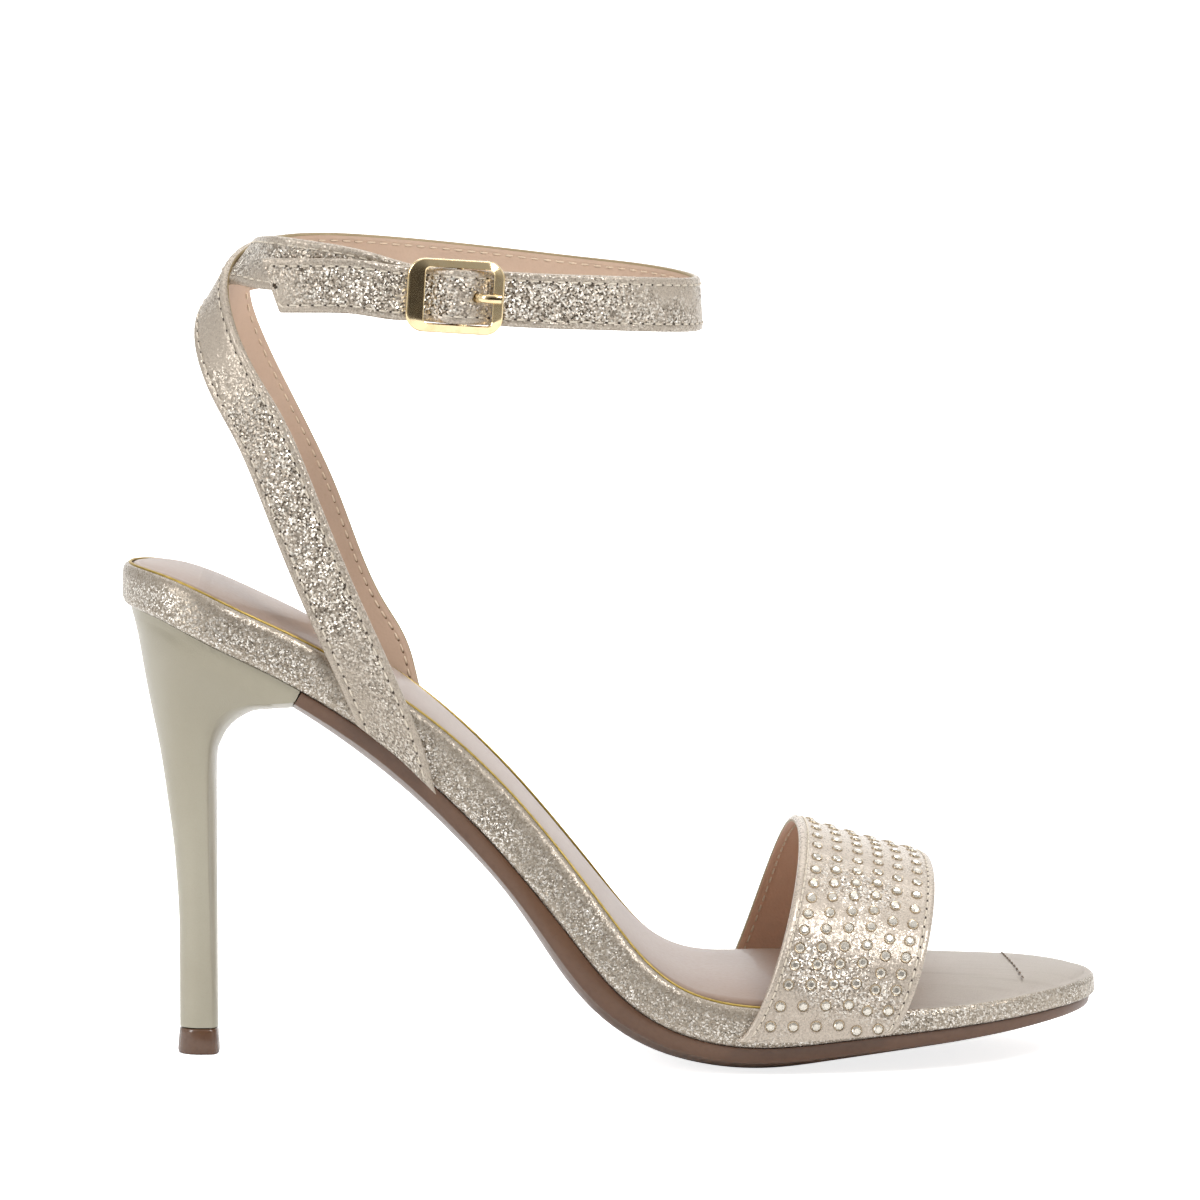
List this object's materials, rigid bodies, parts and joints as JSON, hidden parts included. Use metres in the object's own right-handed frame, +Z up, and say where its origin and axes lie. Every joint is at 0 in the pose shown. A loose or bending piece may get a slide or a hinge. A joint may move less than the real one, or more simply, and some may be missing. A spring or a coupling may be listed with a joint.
{
  "type": "strappy heeled sandal",
  "caption": "High heeled sandal for the right foot, with a broad studded strap over the toes and narrow crossed straps that buckle round the ankle.",
  "frame": {"origin": "middle of the forefoot's flat tread, on the floor", "axes": "+X from the heel to the toe, +Y to the inner side of the foot, +Z up"},
  "size_m": [0.2181, 0.0833, 0.186],
  "materials": {
    "champagne glitter wrap": "pale champagne leather with a fine glitter, a smooth bead along its top edge",
    "pink beige sock": "smooth pink beige lining leather over padding, soft sheen",
    "brown outsole": "smooth brown sole, half gloss",
    "satin champagne heel": "heel covered in a fine satin metallic leather",
    "brown top lift": "hard glossy brown wearing tip",
    "champagne glitter strap": "champagne glitter leather outside, tan lining leather inside",
    "pale gold frame": "polished pale gold",
    "pale gold prong": "polished pale gold"
  },
  "bodies": {
    "root": {"footbed_wrap": "champagne glitter wrap", "insole_sock": "pink beige sock", "outsole": "brown outsole", "heel": "satin champagne heel", "top_lift": "brown top lift", "vamp_strap": "champagne glitter strap", "ankle_straps": "champagne glitter strap", "buckle_frame": "pale gold frame", "buckle_prong": "pale gold prong"}
  },
  "joints": []
}
